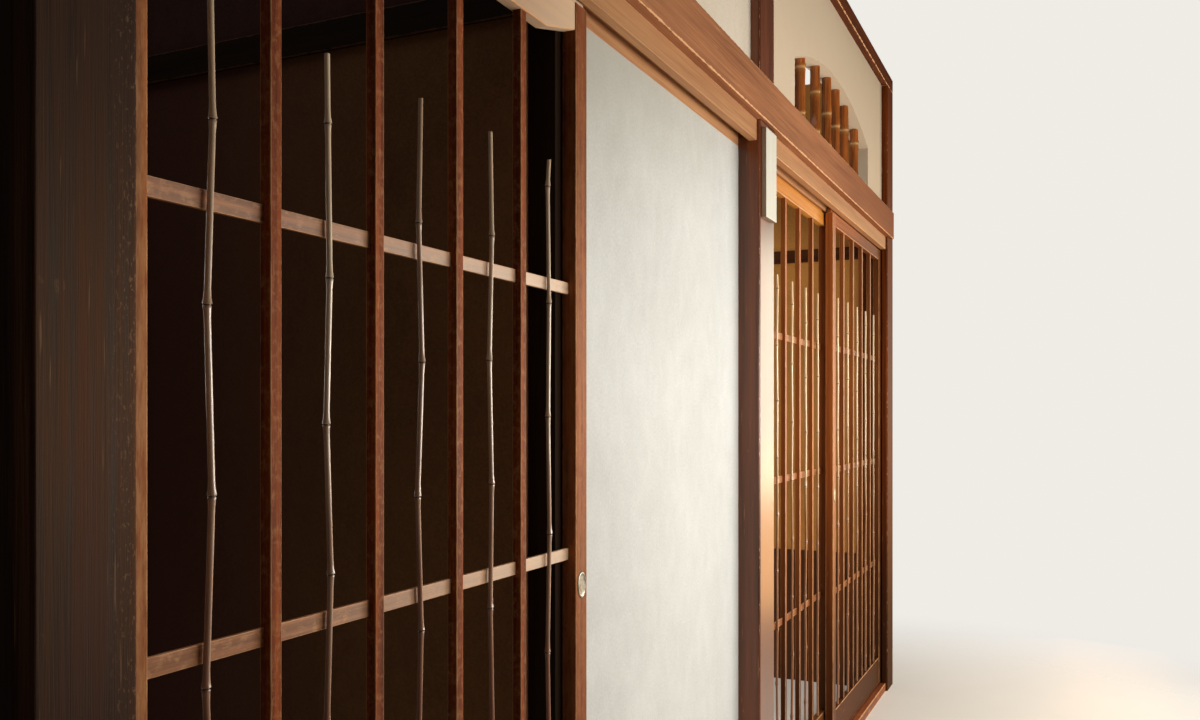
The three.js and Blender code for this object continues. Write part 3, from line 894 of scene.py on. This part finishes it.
class INN_OT_canes(bpy.types.Operator):
    """Grow the canes that stand in the doors"""

    bl_idname = "inn.canes"
    bl_label = "Canes"

    def execute(self, context):
        look = context.scene.inn_canes
        far_skin = culm_material("yellow cane", look.far_skin, dimmed(look.far_skin, 0.72),
                                 look.joint, 900.0, (0.32, 0.22), look.far_low)
        for number, door in enumerate(DOORS):
            for index in range(CANES_PER_DOOR):
                draw = random.Random(100 * number + index)
                if number == 0:
                    start, gap, brown = NEAR_CANES[index]
                    tone = Vector(look.skin).lerp(Vector(look.skin_low), brown)
                    skin = culm_material(f"weathered cane {index + 1}", tone, tone * 0.66,
                                         look.joint, 900.0, (0.28, 0.18), look.skin_low)
                else:
                    start, gap = FAR_START + draw.uniform(0, FAR_SPREAD), draw.uniform(*FAR_GAPS)
                    skin = far_skin
                self.grow(look, draw, door, index + 1, start, gap, skin)
        return {"FINISHED"}

    def grow(self, look, draw, door, number, start, gap, skin):
        """Draws one cane that bends to either side in turn."""
        node = f"{door}_cane_{number}"
        low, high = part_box(node)
        joints = self.joints(draw, start, gap, low.z + 0.02, high.z - 0.03)
        side = draw.choice((-1, 1))
        offsets = [Vector((0, 0, 0))]
        for _ in joints:
            bend = side * look.sway * draw.uniform(0.35, 1.0)
            offsets.append(Vector((bend, -0.0012 * draw.random(), 0)))
            side = -side
        offsets.append(Vector((draw.uniform(-0.6, 0.6) * look.sway, -0.0005, 0)))
        bm = bmesh.new()
        culm(bm, low, high, look, joints, offsets, look.taper)
        piece(f"{door}_grown_cane_{number}", bm, door, skin, [node], smooth=50)

    def joints(self, draw, start, gap, low, high):
        """Heights of a cane's joints, worked both ways from one of them."""
        found = []
        z = start - gap * math.floor((start - low) / gap)
        while z < high:
            shift = 0.0 if abs(z - start) < gap * 1.5 else draw.uniform(-0.008, 0.008)
            if low < z + shift < high:
                found.append(z + shift)
            z += gap
        return found


class INN_OT_poles(bpy.types.Operator):
    """Grow the bamboo poles in the window"""

    bl_idname = "inn.poles"
    bl_label = "Window Poles"

    def execute(self, context):
        look = context.scene.inn_bamboo
        skin = culm_material("smoked bamboo", look.skin, look.skin_dark, look.joint, 260.0, (0.24, 0.4))
        for index in range(WINDOW_POLES):
            node = f"window_pole_{index + 1}"
            low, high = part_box(node)
            draw = random.Random(500 + index)
            joints = [low.z + 0.02 + draw.uniform(0.03, 0.08)]
            while joints[-1] + 0.13 < high.z - 0.03:
                joints.append(joints[-1] + draw.uniform(0.1, 0.14))
            joints = [z for z in joints if z < high.z - 0.03]
            straight = [Vector()] * (len(joints) + 2)
            bm = bmesh.new()
            culm(bm, low, high, look, joints, straight)
            piece(f"grown_{node}", bm, "wall_frame", skin, [node], smooth=50)
        return {"FINISHED"}


class INN_OT_fittings(bpy.types.Operator):
    """Make the doors' finger pulls and the bare name plate"""

    bl_idname = "inn.fittings"
    bl_label = "Pulls and Name Plate"

    def execute(self, context):
        look = context.scene.inn_fittings
        metal = self.metal(look)
        for door in ("door_1", "door_3"):
            self.pull(door, metal)
        bm = bmesh.new()
        block(bm, *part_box("name_plate"), look.board_round)
        painted = float_layer(bm.faces, "painted")
        bm.normal_update()
        for face in bm.faces:
            face[painted] = 1.0 if face.normal.y < -0.6 else 0.0
        piece("bare_name_plate", bm, "wall_frame", self.board(look), ["name_plate"])
        return {"FINISHED"}

    def metal(self, look):
        tree, place, end = new_material("tarnished pull metal")
        cloud = noise(tree, place, 90.0, 4.0, 0.6)
        cells = put(tree, "ShaderNodeTexVoronoi", {"Vector": place, "Scale": 420.0}, feature="F1")
        base = mix(tree, remap(tree, cloud, 0.42, 0.68), look.metal, look.metal_dark)
        roughness = remap(tree, cloud, 0.3, 0.7, 0.28, 0.5)
        return end(base, roughness, cells.outputs["Distance"], 0.3, 0.0005, Metallic=0.9)

    def board(self, look):
        tree, place, end = new_material("bare painted board")
        grain = grouped(tree, "Wood grain", {"Vector": place, "Fineness": 500.0, "Rings": 0.1})
        face = mix(tree, grain["Figure"], dimmed(look.board, 0.86), look.board)
        base = mix(tree, attribute(tree, "painted"), look.board_edge, face)
        return end(base, remap(tree, grain["Figure"], 0, 1, 0.75, 0.6), grain["Height"], 0.2, 0.0003)

    def pull(self, door, metal):
        """An oval dish with a rolled rim: half a profile spun round and made narrower."""
        node = f"{door}_pull"
        low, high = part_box(node)
        middle, half = (low + high) / 2, (high - low) / 2
        bm = bmesh.new()
        verts = [bm.verts.new((0, low.y + y, r * half.z)) for r, y in PULL_PROFILE]
        edges = [bm.edges.new(pair) for pair in zip(verts, verts[1:])]
        bmesh.ops.spin(bm, geom=[*verts, *edges], cent=(0, low.y, 0), axis=(0, 1, 0), angle=math.tau,
                       steps=PULL_STEPS, use_merge=True)
        bmesh.ops.remove_doubles(bm, verts=bm.verts, dist=1e-6)
        bmesh.ops.scale(bm, verts=bm.verts, vec=(half.x / half.z, 1, 1))
        bmesh.ops.translate(bm, verts=bm.verts, vec=(middle.x, 0, middle.z))
        bmesh.ops.recalc_face_normals(bm, faces=bm.faces)
        piece(f"{door}_oval_pull", bm, door, metal, [node], smooth=40)


class INN_OT_stage(bpy.types.Operator):
    """Set the floor, the studio light and the camera"""

    bl_idname = "inn.stage"
    bl_label = "Stage"

    def execute(self, context):
        scene = context.scene
        look = scene.inn_stage
        self.floor(look)
        self.world(scene, look)
        end = cad_box[1][0]
        for lamp in (
                # name, place, aim, size, watts, tint
                ("key light", (0.1, -1.8, 1.2), (0.0, -0.5, 1.15), (2.4, 0.5), look.key,
                 (1.0, 0.97, 0.93)),
                ("window light", (1.8, -2.1, 1.0), (1.1, -0.5, 1.0), (1.4, 1.9), look.window,
                 (1.0, 0.95, 0.88)),
                ("side light", (end + 1.4, -1.5, 1.4), (end - 1.0, -1.1, 1.4), (0.5, 1.5), look.side,
                 (1.0, 0.92, 0.72)),
                ("warm light", (end + 1.3, -1.4, 0.45), (0.6, -0.5, 1.0), (0.5, 0.9), look.glow,
                 (1.0, 0.5, 0.16)),
                ("back light", (0.3, 2.6, 1.6), (0.3, 0.0, 1.2), (1.6, 1.0), look.back, (1.0, 0.96, 0.9)),
                ("top light", (0.0, 0.2, 4.5), (0.0, 0.2, 0.0), (6.0, 5.0), look.top,
                 (1.0, 0.97, 0.92))):
            self.light(*lamp)
        camera = bpy.data.cameras.new("camera")
        camera.lens = look.lens
        camera.shift_y = CAMERA_SHIFT
        camera.clip_start = 0.02
        seat = add_object("camera", camera)
        front = cad_box[0][1] + NAGESHI_PROUD
        seat.location = (-end - CAMERA_BACK, front - CAMERA_OUT, CAMERA_HEIGHT)
        seat.rotation_euler = (math.pi / 2, 0, math.radians(CAMERA_TURN))
        scene.camera = seat
        scene.view_settings.view_transform = "Standard"
        return {"FINISHED"}

    def floor(self, look):
        """A round floor that fades out before its edge."""
        bm = bmesh.new()
        bmesh.ops.create_circle(bm, cap_ends=True, radius=look.floor_radius, segments=96)
        tree, place, end = new_material("pale floor")
        cloud = noise(tree, place, 1.5, 3.0)
        base = mix(tree, remap(tree, cloud, 0.3, 0.7), look.floor, dimmed(look.floor, 0.97))
        away = put(tree, "ShaderNodeVectorMath", {0: place}, operation="LENGTH").outputs["Value"]
        fade = (look.floor_radius * 0.15, look.floor_radius * 0.4)
        alpha = remap(tree, away, *fade, 1.0, 0.0, smooth=True)
        add_mesh("floor", bm, end(base, 0.6, cloud, 0.02, 0.001, Alpha=alpha))

    def world(self, scene, look):
        """A pale backdrop that lights the part only a little."""
        world = bpy.data.worlds.new("studio")
        scene.world = world
        world.use_nodes = True
        tree = world.node_tree
        tree.nodes.clear()
        seen = put(tree, "ShaderNodeBackground", {"Color": look.backdrop, "Strength": 1.0})
        felt = put(tree, "ShaderNodeBackground", {"Color": (1.0, 0.95, 0.88), "Strength": look.sky})
        path = put(tree, "ShaderNodeLightPath").outputs["Is Camera Ray"]
        both = put(tree, "ShaderNodeMixShader", {0: path, 1: felt.outputs[0], 2: seen.outputs[0]})
        put(tree, "ShaderNodeOutputWorld", {"Surface": both.outputs[0]})

    def light(self, name, place, aim, size, watts, tint):
        data = bpy.data.lights.new(name, "AREA")
        data.shape = "RECTANGLE"
        data.size, data.size_y = size
        data.energy = watts
        data.color = tint
        lamp = add_object(name, data)
        lamp.location = place
        lamp.rotation_euler = (Vector(aim) - Vector(place)).to_track_quat("-Z", "Y").to_euler()
        lamp.visible_camera = False


OPERATORS = (
    INN_OT_timber, INN_OT_plaster, INN_OT_returns, INN_OT_doors,
    INN_OT_canes, INN_OT_poles, INN_OT_fittings, INN_OT_stage,
)


class INN_PT_sidebar(bpy.types.Panel):
    """Lists the room front's pieces and their sizes and colours."""

    bl_idname = "INN_PT_sidebar"
    bl_label = "Inn Room Front"
    bl_space_type = "VIEW_3D"
    bl_region_type = "UI"
    bl_category = "Inn Room"

    def draw(self, context):
        for operator in OPERATORS:
            self.layout.operator(operator.bl_idname)
        for name, group in PROPERTY_GROUPS.items():
            box = self.layout.box()
            box.label(text=group.__doc__)
            for field in group.__annotations__:
                box.prop(getattr(context.scene, name), field)


def register():
    for made in (*PROPERTY_GROUPS.values(), *OPERATORS, INN_PT_sidebar):
        bpy.utils.register_class(made)
    for name, group in PROPERTY_GROUPS.items():
        setattr(bpy.types.Scene, name, PointerProperty(type=group))


def unregister():
    for name in PROPERTY_GROUPS:
        delattr(bpy.types.Scene, name)
    for made in (INN_PT_sidebar, *reversed(OPERATORS), *reversed(PROPERTY_GROUPS.values())):
        bpy.utils.unregister_class(made)


def main():
    register()
    bpy.ops.inn.timber()
    bpy.ops.inn.plaster()
    bpy.ops.inn.returns()
    bpy.ops.inn.doors()
    bpy.ops.inn.canes()
    bpy.ops.inn.poles()
    bpy.ops.inn.fittings()
    bpy.ops.inn.stage()


if __name__ == "__main__":
    main()
